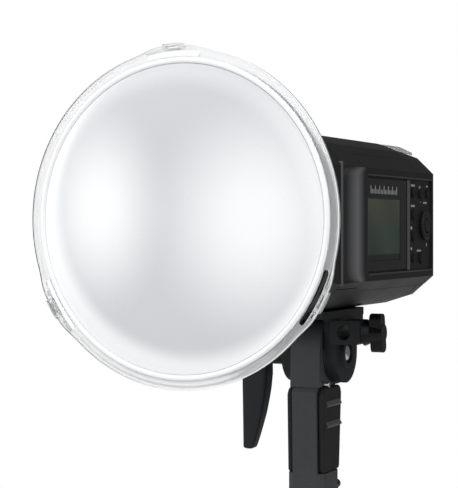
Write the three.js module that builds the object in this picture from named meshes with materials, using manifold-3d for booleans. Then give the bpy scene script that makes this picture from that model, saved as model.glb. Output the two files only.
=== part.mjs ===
// Monolight studio strobe with a round reflector, a clip-on diffuser and a tilting grip.
// Millimetres, +Z up. The lamp fires towards -Y, the control panel faces +X and the battery -X.
// The origin is the centre of the stand socket's mouth, at the foot of the grip.
import * as THREE from "three";
import { mergeVertices } from "three/addons/utils/BufferGeometryUtils.js";
import Module from "manifold-3d";

const wasm = await Module();
wasm.setup();

// Driving dimensions
const LAMP_Z = 211; // height of the lamp axis over the socket's mouth
const GAP = 0.3; // clearance between pieces that touch
const ROUND = 60; // segments of the large turned pieces

const FRONT_Y = -220; // front of the diffuser's white ring
const RIM_R = 104.1; // outer edge of the clear rim
const LOBE_R = 106.3;
const CLIP_R = 107.2; // outer face of each lobe's clip
const SLOT_R = [99.8, 102.5]; // the long slots' edges
const LOBE_ANGLES = [92.4, 212.4, 332.4]; // clip lobes, from +X towards +Z

const BODY_FRONT = -132;
const BEZEL_REAR = -104;
const COVER_FRONT = 73;
const BODY_REAR = 91;
const BODY_HALF = 62.5; // half width over the panel and the battery
const NECK_HALF = 54.5; // half width of the housing between them
const SHOULDER = 36; // top of the upright sides, from the lamp axis
const UNDER = -42; // foot of the upright sides
const FALL_FROM = 38; // where the top starts to fall towards the rear
const REAR_EDGE = 1.5; // bevel round the rear face
const WALL = 2.5;
const SEAM_Z = -46; // seam of the two housing shells, from the lamp axis

const PANEL_FRONT = -65.6; // foot of the panel's front bevel
const BEVEL_LENGTH = 9.7;
const FIELD_DEPTH = 1.4; // sunken field of the screen and the keys
const PANEL_TOP = 30.5;
const PANEL_BOTTOM = -36.5;
const GLASS_REAR = 25.8;
const LCD = { y0: -55.5, y1: 12.1, z0: -27.9, z1: 15 };
const DIAL = { y: 70, z: -3.4, r: 11 };

const PIVOT = { y: 8.5, z: 114 };
const EAR_R = 22;
const EAR_SHIFT = 1.5; // the ears' middle, behind the pivot
const EAR_INNER = 12.6;
const EAR_OUTER = 21.5;
const TONGUE_HALF = 11.4;
const BASE_BOTTOM = 142; // underside of the yoke's top plate
const BASE_TOP = 147.1;
const UMBRELLA = { x: 30.5, z: 130.5, r: 5.2 };
const KNOB_Y = -8;
const KNOB_TURN = 9; // degrees the wing leans from upright

const LEVER_X = -59.5; // outer side of the tilt lever

const GRIP_TOP = 90;
const GRIP_FOOT = 28;
const CORE_HALF = 9.5;
const GRIP_HALF = 14.2;
const BORE_R = 8.2; // takes a 16 mm stand spigot
const STAND_LOCK_Z = 12.5;
const STOP_PIN = [0, -11, 92.4];

// Materials, by class
const paint = {
  black: [0x2d2d2e, 0.55, 0],
  grey: [0x38383a, 0.6, 0],
  dark: [0x19191a, 0.7, 0],
  gloss: [0x121213, 0.15, 0],
  rubber: [0x1c1c1c, 0.9, 0],
  frosted: [0xe2e4e6, 0.5, 0],
  silver: [0xc9ccd0, 0.25, 1],
  steel: [0x9fa3a8, 0.35, 1],
  chrome: [0xd9dcdf, 0.12, 1],
  glass: [0xdfe8ea, 0.08, 0],
  board: [0x1f5a35, 0.6, 0],
  sleeve: [0x23262b, 0.45, 0],
  copper: [0xa9653a, 0.5, 1],
  screen: [0x46513f, 0.2, 0],
  label: [0xb9bbbd, 0.5, 0],
};

// ---- Geometry helpers ----

function solidOf(geometry) {
  geometry.deleteAttribute("normal");
  geometry.deleteAttribute("uv");
  const merged = mergeVertices(geometry, 1e-4);
  const index = merged.index.array;
  const kept = [];
  for (let i = 0; i < index.length; i += 3) {
    const [a, b, c] = index.subarray(i, i + 3);
    if (a !== b && b !== c && c !== a) kept.push(a, b, c);
  }
  return new wasm.Manifold(new wasm.Mesh({
    numProp: 3,
    vertProperties: merged.attributes.position.array,
    triVerts: new Uint32Array(kept),
  }));
}

function geometryOf(solid) {
  const mesh = solid.getMesh();
  const geometry = new THREE.BufferGeometry();
  geometry.setAttribute("position", new THREE.BufferAttribute(mesh.vertProperties, mesh.numProp));
  geometry.setIndex(new THREE.BufferAttribute(mesh.triVerts, 1));
  geometry.computeVertexNormals();
  return geometry;
}

const join = (first, ...rest) => rest.reduce((sum, solid) => sum.add(solid), first);
const cut = (first, ...rest) => rest.reduce((sum, solid) => sum.subtract(solid), first);

// A box between two corners.
function box(x0, x1, y0, y1, z0, z1) {
  const geometry = new THREE.BoxGeometry(x1 - x0, y1 - y0, z1 - z0);
  return solidOf(geometry.translate((x0 + x1) / 2, (y0 + y1) / 2, (z0 + z1) / 2));
}

// The turn that carries +Y onto an axis.
const aim = {
  x: new THREE.Matrix4().makeRotationZ(-Math.PI / 2),
  y: new THREE.Matrix4(),
  z: new THREE.Matrix4().makeRotationX(Math.PI / 2),
};

// A round bar, or a cone with two radii, from one place to another along an axis.
function rod(axis, from, to, centre, r0, r1 = r0, segments = 20) {
  const geometry = new THREE.CylinderGeometry(r1, r0, to - from, segments);
  geometry.translate(0, (from + to) / 2, 0).applyMatrix4(aim[axis]);
  return solidOf(geometry.translate(...centre));
}

// A profile of [radius, y] points turned about the lamp axis. It runs anticlockwise, radius to the
// right and y up, and closes on itself or on the axis.
function turned(profile, segments = ROUND) {
  const ends = [profile[0], profile.at(-1)];
  const closed = ends.every(([radius]) => radius === 0) ? profile : [...profile, profile[0]];
  const points = closed.map(([radius, y]) => new THREE.Vector2(radius, y));
  return solidOf(new THREE.LatheGeometry(points, segments).translate(0, 0, LAMP_Z));
}

// Points of an arc, angles in degrees.
function arc(u, v, radius, from, to, steps) {
  return Array.from({ length: steps + 1 }, (_, i) => {
    const angle = THREE.MathUtils.degToRad(from + ((to - from) * i) / steps);
    return [u + radius * Math.cos(angle), v + radius * Math.sin(angle)];
  });
}

function roundedBox(u0, u1, v0, v1, radius, steps = 3) {
  return [
    ...arc(u1 - radius, v0 + radius, radius, -90, 0, steps),
    ...arc(u1 - radius, v1 - radius, radius, 0, 90, steps),
    ...arc(u0 + radius, v1 - radius, radius, 90, 180, steps),
    ...arc(u0 + radius, v0 + radius, radius, 180, 270, steps),
  ];
}

// A flat outline pushed along an axis. The outline is (y, z) for x, (x, z) for y and (x, y) for z.
function prism(axis, outline, from, to) {
  const shape = new THREE.Shape(outline.map(([u, v]) => new THREE.Vector2(u, v)));
  const geometry = new THREE.ExtrudeGeometry(shape, { depth: to - from, bevelEnabled: false });
  if (axis === "z") return solidOf(geometry.translate(0, 0, from));
  if (axis === "y") return solidOf(geometry.rotateX(Math.PI / 2).translate(0, to, 0));
  geometry.rotateX(Math.PI / 2).rotateZ(Math.PI / 2);
  return solidOf(geometry.translate(from, 0, 0));
}

// A skin through convex outlines of equal length, each { y, points }, in rising order of y.
function loft(stations) {
  const count = stations[0].points.length;
  const position = stations.flatMap(({ y, points }) => points.flatMap(([x, z]) => [x, y, z]));
  const index = [];
  for (let s = 0; s < stations.length - 1; s += 1) {
    for (let i = 0; i < count; i += 1) {
      const a = s * count + i;
      const b = s * count + ((i + 1) % count);
      index.push(a, a + count, b, b, a + count, b + count);
    }
  }
  const last = (stations.length - 1) * count;
  for (let i = 1; i < count - 1; i += 1) {
    index.push(0, i, i + 1, last, last + i + 1, last + i);
  }
  const geometry = new THREE.BufferGeometry();
  geometry.setAttribute("position", new THREE.Float32BufferAttribute(position, 3));
  geometry.setIndex(index);
  return solidOf(geometry);
}

const strobe = new THREE.Group();

function add(name, solid, finish, parent = strobe) {
  const [color, roughness, metalness] = paint[finish];
  const material = new THREE.MeshStandardMaterial({ color, roughness, metalness });
  const mesh = new THREE.Mesh(geometryOf(solid), material);
  mesh.name = name;
  parent.add(mesh);
  return mesh;
}

// ---- Diffuser and reflector ----

// A sector ring about the lamp axis, used for lobes and slots.
function sector(inner, outer, centre, half, y0, y1) {
  const outline = [
    ...arc(0, LAMP_Z, outer, centre - half, centre + half, 5),
    ...arc(0, LAMP_Z, inner, centre + half, centre - half, 5),
  ];
  return prism("y", outline, y0, y1);
}

function diffuser() {
  const skin = turned([
    [0, -2.6], [52, -2], [82, -0.8], [93, 0.8], [94.2, 1.8], [95, 0], [98, 0], [98.6, 1],
    [RIM_R, 1.2], [RIM_R, 3.4], [94.5, 3.6], [92.5, 3], [80, 1.4], [52, 0.2], [0, -0.6],
  ].map(([radius, y]) => [radius, FRONT_Y + y]));
  // Each lobe is two low steps and the clip over them.
  const lobes = LOBE_ANGLES.flatMap((angle) => [
    sector(103, (RIM_R + LOBE_R) / 2, angle, 13, FRONT_Y + 1.6, FRONT_Y + 3.4),
    sector(103, LOBE_R, angle, 9.5, FRONT_Y + 1.6, FRONT_Y + 3.8),
    sector(103, CLIP_R, angle, 3.8, FRONT_Y + 1.4, FRONT_Y + 4.4),
  ]);
  const slots = LOBE_ANGLES.map((angle) => sector(...SLOT_R, angle, 9.9, FRONT_Y - 1, FRONT_Y + 6));
  add("diffuser_cap", cut(join(skin, ...lobes), ...slots), "frosted");
}

function reflector() {
  add("reflector_shell", turned([
    [95.4, -214], [97, -216], [99.2, -215.8], [100.4, -214], [99.4, -212.2], [97.6, -211.8],
    [96.6, -206], [89.4, -183], [76.4, -159.6], [61, -142.6], [51.5, -135], [45, -134.2],
    [45, -136], [50.6, -136.8], [59.6, -144.4], [74.6, -161.2], [87.6, -184], [94.8, -206.8],
  ]), "silver");
  const ring = turned([
    [50, -133.8], [50, -130.8], [46.2, -130.8], [46.2, -123], [42.2, -123], [42.2, -133.8],
  ], 36);
  const lugs = [30, 150, 270].map((angle) => sector(45.8, 48.4, angle, 9, -127.4, -124.6));
  add("reflector_bayonet", join(ring, ...lugs), "steel");
}

// ---- Lamp head in the body's mouth ----

function lampHead() {
  const socket = turned([
    [50.4, -130.4], [50.4, -132.4], [52.2, -132.4], [52.2, -112], [48.8, -112], [48.8, -130.4],
  ], 36);
  add("bayonet_socket", socket, "steel");
  add("tube_base", join(
    rod("y", -112, -106, [0, 0, LAMP_Z], 48.4, 48.4, 36),
    rod("y", -120, -111, [0, 0, LAMP_Z], 36, 38, 36),
  ), "label");
  const half = [[24, -121], [25, -134], [25, -143], [20, -150]];
  const loop = [...half, [0, -153], ...half.map(([x, y]) => [-x, y]).reverse()];
  const path = new THREE.CatmullRomCurve3(loop.map(([x, y]) => new THREE.Vector3(x, y, LAMP_Z)));
  const section = new THREE.Shape(arc(0, 0, 5, 0, 315, 7).map(([u, v]) => new THREE.Vector2(u, v)));
  const tube = new THREE.ExtrudeGeometry(section, { steps: 22, extrudePath: path, bevelEnabled: false });
  add("flash_tube", solidOf(tube), "glass");
  add("modelling_lamp", join(
    rod("y", -126, -120.3, [0, 0, LAMP_Z], 11, 13),
    rod("y", -131, -125.8, [0, 0, LAMP_Z], 5, 10),
  ), "label");
  add("reflector_release", join(
    box(-65, -59.8, -121, -109, LAMP_Z - 6, LAMP_Z + 6),
    box(-60, -56, -118, -112, LAMP_Z - 3, LAMP_Z + 3),
  ), "dark");
}

// ---- Body ----

// The body's outline as [x, z], from its half on +X. The fall shrinks the part over the shoulders.
function outline(width, fall = 0) {
  const level = [[24, 59], [36, 57.5], [50, 51]];
  const top = level.map(([x, z]) => [x, SHOULDER + (z - SHOULDER) * (1 - fall)]);
  const right = [...top, [BODY_HALF, SHOULDER], [BODY_HALF, UNDER], [46, -56.4], [24, -63.4]];
  const left = right.map(([x, z]) => [-x, z]).reverse();
  const scale = width / BODY_HALF;
  return [...right, ...left].map(([x, z]) => [x * scale, LAMP_Z + z * scale]).reverse();
}

// The whole body's outer form, shrunk by an inset on every side, between two places along y.
function bodyForm(inset, from, to, chamferFront = 0, chamferRear = 0) {
  const fall = (y) => 0.18 * Math.max(0, Math.min(1, (y - FALL_FROM) / (BODY_REAR - FALL_FROM)));
  const station = (y, extra) => ({ y, points: outline(BODY_HALF - inset - extra, fall(y)) });
  const middle = [FALL_FROM].filter((y) => y > from + chamferFront && y < to - chamferRear);
  const stations = [
    ...(chamferFront ? [station(from, chamferFront)] : []),
    station(from + chamferFront, 0),
    ...middle.map((y) => station(y, 0)),
    station(to - chamferRear, 0),
    ...(chamferRear ? [station(to, chamferRear)] : []),
  ];
  return loft(stations);
}

const between = (solid, x0, x1, z0 = -100, z1 = 100) =>
  solid.intersect(box(x0, x1, -400, 400, LAMP_Z + z0, LAMP_Z + z1));

function bezel() {
  const shell = cut(
    bodyForm(0, BODY_FRONT, BEZEL_REAR, 5),
    bodyForm(3, BODY_FRONT + 6, BEZEL_REAR + 1),
    rod("y", BODY_FRONT - 1, BEZEL_REAR, [0, 0, LAMP_Z], 52.6, 52.6, 36),
    box(-64, -50, -121.4, -108.6, LAMP_Z - 6.4, LAMP_Z + 6.4),
  );
  add("front_bezel", shell, "black");
}

function housing() {
  const front = BEZEL_REAR + GAP;
  const rear = COVER_FRONT - GAP;
  const shell = cut(bodyForm(0, front, rear), bodyForm(WALL, front - 1, rear + 1));
  const tube = between(shell, -NECK_HALF, NECK_HALF);
  const side = box(NECK_HALF - WALL, NECK_HALF, front, rear, LAMP_Z - 48, LAMP_Z + 45);
  const otherSide = box(-NECK_HALF, WALL - NECK_HALF, front, rear, LAMP_Z - 48, LAMP_Z + 45);
  const lump = bodyForm(0, front, PANEL_FRONT - GAP);
  const corners = [[NECK_HALF - 1, 70], [-70, 1 - NECK_HALF]].flatMap(([x0, x1]) => [
    between(lump, x0, x1, SHOULDER, 70),
    between(lump, x0, x1, -70, UNDER),
  ]);
  const whole = join(tube, side, otherSide, ...corners);
  const upper = cut(
    between(whole, -70, 70, SEAM_Z, 70),
    box(50, 60, -52, 66, LAMP_Z - 30, LAMP_Z + 26),
    box(-60, -50, -50.6, 66.6, LAMP_Z - 35.6, LAMP_Z + 33.6),
  );
  add("housing_upper", upper, "black");
  add("housing_lower", between(whole, -70, 70, -70, SEAM_Z - GAP), "black");
}

function rearCover() {
  const vents = Array.from({ length: 7 }, (_, i) => {
    const z = LAMP_Z - 27 + i * 9;
    return box(-31, 31, BODY_REAR - 4, BODY_REAR + 1, z - 1.8, z + 1.8);
  });
  const cover = cut(
    between(bodyForm(0, COVER_FRONT, BODY_REAR, 0, REAR_EDGE), -NECK_HALF, NECK_HALF),
    between(bodyForm(WALL, COVER_FRONT - 1, BODY_REAR - WALL), -NECK_HALF + WALL, NECK_HALF - WALL),
    ...vents,
  );
  add("rear_cover", cover, "black");
}

// A light cover that lies over the falling top and keeps the height of the level part before it.
function slaveWindow() {
  const level = loft([50, 86].map((y) => ({ y, points: outline(BODY_HALF) })));
  const cover = cut(level, bodyForm(-GAP, 40, BODY_REAR + 1));
  add("slave_sensor_window", between(cover, -46.5, 46.5, 40, 70), "label");
}

// ---- Control panel on the +X side ----

// What is cut from the front of the panel, and mirrored from the battery, where the neck shows.
function frontBevel() {
  const wedge = [[NECK_HALF - 1, PANEL_FRONT - 2], [BODY_HALF + 2, PANEL_FRONT - 2],
    [BODY_HALF + 2, PANEL_FRONT + BEVEL_LENGTH], [NECK_HALF + GAP, PANEL_FRONT]];
  return prism("z", wedge, LAMP_Z + UNDER, LAMP_Z + SHOULDER);
}

function controlPanel() {
  const slice = between(bodyForm(0, PANEL_FRONT, BODY_REAR, 0, REAR_EDGE), NECK_HALF + GAP, 70);
  const floor = BODY_HALF - FIELD_DEPTH;
  const field = box(floor, 70, PANEL_FRONT + 8.6, 86, LAMP_Z + PANEL_BOTTOM, LAMP_Z + PANEL_TOP);
  const screenHole = box(50, 70, LCD.y0 + 0.1, LCD.y1 - 0.2, LAMP_Z + LCD.z0 + 0.5, LAMP_Z + LCD.z1 - 0.5);
  const holes = BUTTONS.map(({ y, z, r }) => rod("x", 50, 70, [0, y, LAMP_Z + z], r + GAP, r + GAP, 16));
  const dialHole = rod("x", 50, 70, [0, DIAL.y, LAMP_Z + DIAL.z], DIAL.r - 1.5, DIAL.r - 1.5, 24);
  const rib = box(floor - 0.5, BODY_HALF - 0.2, 27, 35, LAMP_Z + PANEL_BOTTOM, LAMP_Z + PANEL_TOP);
  const frame = join(cut(slice, frontBevel(), field), rib);
  add("control_panel", cut(frame, screenHole, dialHole, ...holes), "black");

  const glass = box(floor + GAP, BODY_HALF - 0.3, PANEL_FRONT + 9, GLASS_REAR, LAMP_Z - 35, LAMP_Z + 29);
  const { y0, y1, z0, z1 } = LCD;
  const window = box(60, 64, y0 - GAP, y1 + GAP, LAMP_Z + z0 - GAP, LAMP_Z + z1 + GAP);
  add("panel_glass", cut(glass, window), "gloss");
  add("lcd_screen", join(
    box(NECK_HALF + 2, BODY_HALF - 0.6, y0 + 0.5, y1 - 0.6, LAMP_Z + z0 + 0.9, LAMP_Z + z1 - 0.9),
    box(BODY_HALF - 1.1, BODY_HALF - 0.6, y0, y1, LAMP_Z + z0, LAMP_Z + z1),
  ), "screen");
}

const BUTTONS = [
  { name: "sync_button", y: 44, z: 20.5, r: 3.2 },
  { name: "group_button", y: 44, z: 4.2, r: 3.2 },
  { name: "lamp_button", y: 44, z: -12, r: 3.2 },
  { name: "buzzer_button", y: 44, z: -28, r: 3.2 },
  { name: "test_button", y: 61, z: 20.5, r: 3.8 },
  { name: "mode_button", y: 77.5, z: 20.5, r: 3.2 },
  { name: "power_button", y: 62, z: -28, r: 4.2 },
];

function buttons() {
  for (const { name, y, z, r } of BUTTONS) {
    const cap = rod("x", 57, BODY_HALF + 0.2, [0, y, LAMP_Z + z], r, r, 16);
    const foot = rod("x", 56, 57.5, [0, y, LAMP_Z + z], r - 0.8, r - 0.8, 16);
    add(name, join(cap, foot), "rubber");
  }
  const centre = [0, DIAL.y, LAMP_Z + DIAL.z];
  const ring = cut(
    join(
      rod("x", 61.5, 64.6, centre, DIAL.r, DIAL.r - 1, 32),
      rod("x", 57.6, 62, centre, DIAL.r - 1.9, DIAL.r - 1.9, 24),
    ),
    rod("x", 50, 70, centre, 5.8, 5.8, 24),
  );
  add("dial_ring", ring, "dark");
  add("set_button", rod("x", 56.5, 64.2, centre, 4.9, 4.9, 24), "dark");
}

// ---- Battery on the -X side ----

function battery() {
  const slice = between(bodyForm(0, PANEL_FRONT, BODY_REAR, 0, REAR_EDGE), -70, -NECK_HALF - GAP);
  const latchPocket = box(-70, -57, -44, -24, LAMP_Z + 14, LAMP_Z + 30);
  const block = box(-55, -28, -48, 64, LAMP_Z - 33, LAMP_Z + 31);
  add("battery_pack", cut(join(cut(slice, frontBevel().mirror([1, 0, 0])), block), latchPocket), "grey");
  add("battery_latch", join(
    box(-62.2, -59, -43, -27, LAMP_Z + 15, LAMP_Z + 29),
    box(-63.4, -61.9, -41, -38, LAMP_Z + 16, LAMP_Z + 28),
  ), "dark");
  const bay = cut(
    box(-52.4, -24.4, -50, 66, LAMP_Z - 35, LAMP_Z + 33),
    box(-53, -26, -48.6, 64.6, LAMP_Z - 33.6, LAMP_Z + 31.6),
  );
  add("battery_bay", cut(bay, box(-27, -24, 20, 44, LAMP_Z - 9, LAMP_Z + 7)), "dark");
  add("battery_contacts", join(
    box(-25.6, -22.6, 20.4, 43.6, LAMP_Z - 8.6, LAMP_Z + 6.6),
    box(-24, -21, 24, 40, LAMP_Z - 5, LAMP_Z + 3),
  ), "copper");
}

// ---- What the housing holds ----

function insides() {
  add("main_board", box(48.4, 50, -54, 66, LAMP_Z - 40, LAMP_Z + 38), "board");
  const capacitors = [
    ["capacitor_a", -1, -34, 17],
    ["capacitor_b", 33, -30, 14],
    ["capacitor_c", 16, 6, 17],
  ];
  for (const [name, x, z, r] of capacitors) {
    add(name, rod("y", -98, -30, [x, 0, LAMP_Z + z], r, r, 24), "sleeve");
  }
  add("charge_transformer", box(-16, 18, -20, 14, LAMP_Z - 50, LAMP_Z - 20), "copper");
  add("power_board", box(-19, 42, -24, 52, LAMP_Z - 14.6, LAMP_Z - 13), "board");
  add("trigger_coil", rod("y", -20, 12, [-6, 0, LAMP_Z + 30], 9), "label");
  add("buzzer", rod("z", LAMP_Z - 12.6, LAMP_Z - 4, [30, -10, 0], 7), "dark");
  add("fan_frame", cut(
    box(-30, 30, 66.5, 79, LAMP_Z - 30, LAMP_Z + 30),
    rod("y", 66, 80, [0, 0, LAMP_Z], 27.6, 27.6, 32),
  ), "dark");
  const blades = Array.from({ length: 7 }, (_, i) => {
    const blade = new THREE.BoxGeometry(6, 7, 16.4).translate(0, 73, 18);
    return solidOf(blade.rotateY((i * Math.PI * 2) / 7).translate(0, 0, LAMP_Z));
  });
  add("fan_rotor", join(rod("y", 68.5, 77.5, [0, 0, LAMP_Z], 12, 12, 20), ...blades), "dark");
}

// ---- Yoke, umbrella clamp and tilt lock ----

function ear(side) {
  const { y, z } = PIVOT;
  const middle = y + EAR_SHIFT;
  const top = BASE_BOTTOM + 1;
  const profile = [...arc(middle, z, EAR_R, 180, 360, 16), [middle + EAR_R, top], [middle - EAR_R, top]];
  const inner = side * EAR_INNER;
  const outer = side * EAR_OUTER;
  return prism("x", profile, Math.min(inner, outer), Math.max(inner, outer));
}

function yoke() {
  const { y, z } = PIVOT;
  const plate = prism("z", roundedBox(-30, 30, -60, 30, 8), BASE_BOTTOM, BASE_TOP);
  const boss = prism("y", roundedBox(20, 42.5, 122, 139.4, 3), -20, 5);
  const web = box(14, 30, -18, 22, 138, 143);
  const seat = rod("x", EAR_OUTER - 1, EAR_OUTER + 2.6, [0, y, z], 12, 11, 24);
  const casting = join(plate, ear(1), ear(-1), boss, web, seat);
  add("yoke", cut(
    casting,
    rod("x", -30, 30, [0, y, z], 4.4),
    rod("x", EAR_OUTER - 2, EAR_OUTER + 4, [0, y, z], 7.6),
    rod("y", -30, 30, [UMBRELLA.x, 0, UMBRELLA.z], UMBRELLA.r),
    rod("x", 34, 50, [0, KNOB_Y, UMBRELLA.z], 3.4, 3.4, 16),
  ), "grey");
}

function umbrellaKnob() {
  const at = [0, KNOB_Y, UMBRELLA.z];
  const wing = prism("x", roundedBox(-5, 5, -14, 14, 4), 47.8, 56.4).rotate([KNOB_TURN, 0, 0]);
  const knob = join(
    rod("x", 42.8, 48, at, 9.6, 7.2),
    wing.translate(at),
    rod("x", 47.8, 57, at, 7.4, 6.4),
  );
  add("umbrella_knob", cut(knob, rod("x", 42, 52.3, at, 3.3, 3.3, 16)), "dark");
  add("umbrella_screw", rod("x", 36.6, 52, at, 3, 3, 16), "steel");
}

function tiltLock() {
  const at = [0, PIVOT.y, PIVOT.z];
  add("pivot_bolt", join(
    rod("x", -37, EAR_OUTER - 1.4, at, 4),
    rod("x", EAR_OUTER - 1.7, EAR_OUTER + 2.2, at, 7.2, 6.4),
  ), "chrome");
  for (const [name, side] of [["friction_washer_right", 1], ["friction_washer_left", -1]]) {
    const from = side > 0 ? TONGUE_HALF + GAP : -EAR_INNER + GAP;
    const disc = rod("x", from, from + 0.6, at, 19, 19, 32);
    add(name, cut(disc, rod("x", from - 1, from + 2, at, 4.4)), "steel");
  }
  const hub = rod("x", -41, -EAR_OUTER - GAP, at, 10, 10, 24);
  const ring = (y0, y1, inner, z) => [[LEVER_X, y0, z], [inner, y0, z], [inner, y1, z], [LEVER_X, y1, z]];
  const blade = stack([
    ring(1.5, 15.5, -39, 124),
    ring(1, 16, -39, 96),
    ring(2, 15, -41.4, 77),
    ring(3, 14, -46, 58),
    ring(4, 13, -51.8, 39.5),
  ]);
  add("tilt_lever", cut(join(hub, blade), rod("x", -37.4, -20, at, 4.3)), "dark");
}

// A tapered bar through four-cornered rings, from the top ring down.
function stack(rings) {
  const position = rings.flat(2);
  const index = [0, 1, 2, 0, 2, 3];
  for (let s = 0; s < rings.length - 1; s += 1) {
    for (let i = 0; i < 4; i += 1) {
      const a = s * 4 + i;
      const b = s * 4 + ((i + 1) % 4);
      index.push(a, a + 4, b, b, a + 4, b + 4);
    }
  }
  const last = (rings.length - 1) * 4;
  index.push(last, last + 2, last + 1, last, last + 3, last + 2);
  const geometry = new THREE.BufferGeometry();
  geometry.setAttribute("position", new THREE.Float32BufferAttribute(position, 3));
  geometry.setIndex(index);
  return solidOf(geometry);
}

// ---- Grip ----

function grip() {
  const { y, z } = PIVOT;
  const tongue = [[-18.5, GRIP_TOP + GAP], [22, GRIP_TOP + GAP], ...arc(y, z, 26.4, 59, 180, 12)];
  const column = [[-18.4, GRIP_FOOT - 1], [15.4, GRIP_FOOT - 1], [19.6, GRIP_TOP - 3], [16.6, GRIP_TOP + 1],
    [-17, GRIP_TOP + 1], [-20, GRIP_TOP - 3]];
  const foot = prism("z", roundedBox(-14.4, 14.4, -18.4, 15.4, 6), 0, GRIP_FOOT);
  const core = join(
    prism("x", tongue, -TONGUE_HALF, TONGUE_HALF),
    prism("x", column, -CORE_HALF, CORE_HALF),
    foot,
  );
  add("handle_core", cut(
    core,
    rod("z", -1, GRIP_FOOT - 1.4, [0, 0, 0], 10.3, 10.3, 32),
    rod("x", -30, 30, [0, y, z], 4.4),
    rod("y", 5, 20, [0, 0, STAND_LOCK_Z], 3.4, 3.4, 16),
    rod("x", TONGUE_HALF - 4, 20, STOP_PIN, 2.3, 2.3, 12),
  ), "grey");
  for (const [name, side] of [["grip_panel_right", 1], ["grip_panel_left", -1]]) gripPanel(name, side);
}

function gripPanel(name, side) {
  const profile = [[-16.4, GRIP_FOOT + GAP], [15, GRIP_FOOT + GAP], [19.4, GRIP_TOP - 5], [16, GRIP_TOP],
    [-14.6, GRIP_TOP], [-18.4, GRIP_TOP - 4.6]];
  const inner = side * (CORE_HALF + GAP);
  const outer = side * GRIP_HALF;
  const slab = prism("x", profile, Math.min(inner, outer), Math.max(inner, outer));
  const ribs = [78.5, 63.6].map((top) => {
    const wedge = [[outer - side, top + 2], [outer + side * 1.8, top - 3.4], [outer - side, top - 3.4]];
    return prism("y", side > 0 ? wedge.reverse() : wedge, -12, 15);
  });
  add(name, join(slab, ...ribs), "rubber");
}

function standSocket() {
  add("stand_socket_bush", cut(
    rod("z", 0, GRIP_FOOT - 2, [0, 0, 0], 10, 10, 32),
    rod("z", -1, GRIP_FOOT - 3.5, [0, 0, 0], BORE_R, BORE_R, 32),
    rod("y", 5, 20, [0, 0, STAND_LOCK_Z], 3.4, 3.4, 16),
  ), "steel");
  const at = [0, 0, STAND_LOCK_Z];
  add("stand_lock_screw", rod("y", BORE_R + 0.6, 26, at, 3, 3, 16), "steel");
  const lobes = Array.from({ length: 5 }, (_, i) => {
    const angle = (i / 5) * Math.PI * 2 + Math.PI / 2;
    return rod("y", 18, 30, [6.2 * Math.cos(angle), 0, STAND_LOCK_Z + 6.2 * Math.sin(angle)], 3.4, 3.4, 12);
  });
  const knob = join(rod("y", 15.8, 30, at, 7, 7.6), ...lobes);
  add("stand_lock_knob", cut(knob, rod("y", 15, 26.4, at, 3.3, 3.3, 16)), "dark");
  add("tilt_stop_pin", rod("x", TONGUE_HALF - 3.6, 16.5, STOP_PIN, 2, 2, 12), "steel");
}

diffuser();
reflector();
lampHead();
bezel();
housing();
rearCover();
slaveWindow();
controlPanel();
buttons();
battery();
insides();
yoke();
umbrellaKnob();
tiltLock();
grip();
standSocket();

export default strobe;
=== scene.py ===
# Battery monolight with a clip-on diffuser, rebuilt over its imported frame. Metres, +Z up, lamp towards -Y.
import bmesh
import bpy
import numpy as np
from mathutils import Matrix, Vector


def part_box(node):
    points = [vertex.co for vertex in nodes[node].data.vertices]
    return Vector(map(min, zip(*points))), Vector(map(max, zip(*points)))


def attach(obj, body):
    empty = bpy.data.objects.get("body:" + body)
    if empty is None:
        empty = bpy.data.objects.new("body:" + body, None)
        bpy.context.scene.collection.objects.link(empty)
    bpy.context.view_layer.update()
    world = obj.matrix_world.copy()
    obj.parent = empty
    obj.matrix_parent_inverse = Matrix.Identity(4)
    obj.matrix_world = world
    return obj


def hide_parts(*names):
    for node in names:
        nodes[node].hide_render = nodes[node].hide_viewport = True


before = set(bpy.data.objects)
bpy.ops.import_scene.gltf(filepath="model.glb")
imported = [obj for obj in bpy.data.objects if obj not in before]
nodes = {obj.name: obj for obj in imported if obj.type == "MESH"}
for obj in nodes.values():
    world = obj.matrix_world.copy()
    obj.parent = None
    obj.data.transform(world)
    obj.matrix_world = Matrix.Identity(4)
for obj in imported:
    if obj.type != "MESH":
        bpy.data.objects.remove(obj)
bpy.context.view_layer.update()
mm = 0.001

lampZ = 0.5 * (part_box("reflector_shell")[0][2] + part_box("reflector_shell")[1][2])
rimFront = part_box("diffuser_cap")[0][1] + 2.6 * mm  # front plane of the diffuser's white ring
pivot = Vector((0, 0.0085, 0.114))
rimHold = 0.12  # how far in from its rim a slab's flat end has one more ring


def meshFrom(name, points, closeU=False, closeV=False, flip=False):
    # A grid of points, rows by columns, joined into quads; closed directions wrap round to their start.
    rows, columns = points.shape[:2]
    index = np.arange(rows * columns).reshape(rows, columns)
    if closeU:
        index = np.vstack([index, index[:1]])
    if closeV:
        index = np.hstack([index, index[:, :1]])
    quads = np.stack([index[:-1, :-1], index[1:, :-1], index[1:, 1:], index[:-1, 1:]], axis=-1)
    quads = quads.reshape(-1, 4)
    if flip:
        quads = quads[:, ::-1]
    mesh = bpy.data.meshes.new(name)
    mesh.vertices.add(rows * columns)
    mesh.vertices.foreach_set("co", points.astype(np.float32).ravel())
    mesh.loops.add(quads.size)
    mesh.loops.foreach_set("vertex_index", quads.astype(np.int32).ravel())
    mesh.polygons.add(len(quads))
    mesh.polygons.foreach_set("loop_start", np.arange(0, quads.size, 4, dtype=np.int32))
    mesh.update(calc_edges=True)
    mesh.validate()
    return mesh


def weld(mesh, distance=1e-6):
    # Merges the doubled points of seams and poles and drops the faces that this leaves flat.
    work = bmesh.new()
    work.from_mesh(mesh)
    bmesh.ops.remove_doubles(work, verts=work.verts, dist=distance)
    bmesh.ops.dissolve_degenerate(work, edges=work.edges, dist=distance)
    bmesh.ops.recalc_face_normals(work, faces=work.faces)
    work.to_mesh(mesh)
    work.free()


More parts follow.
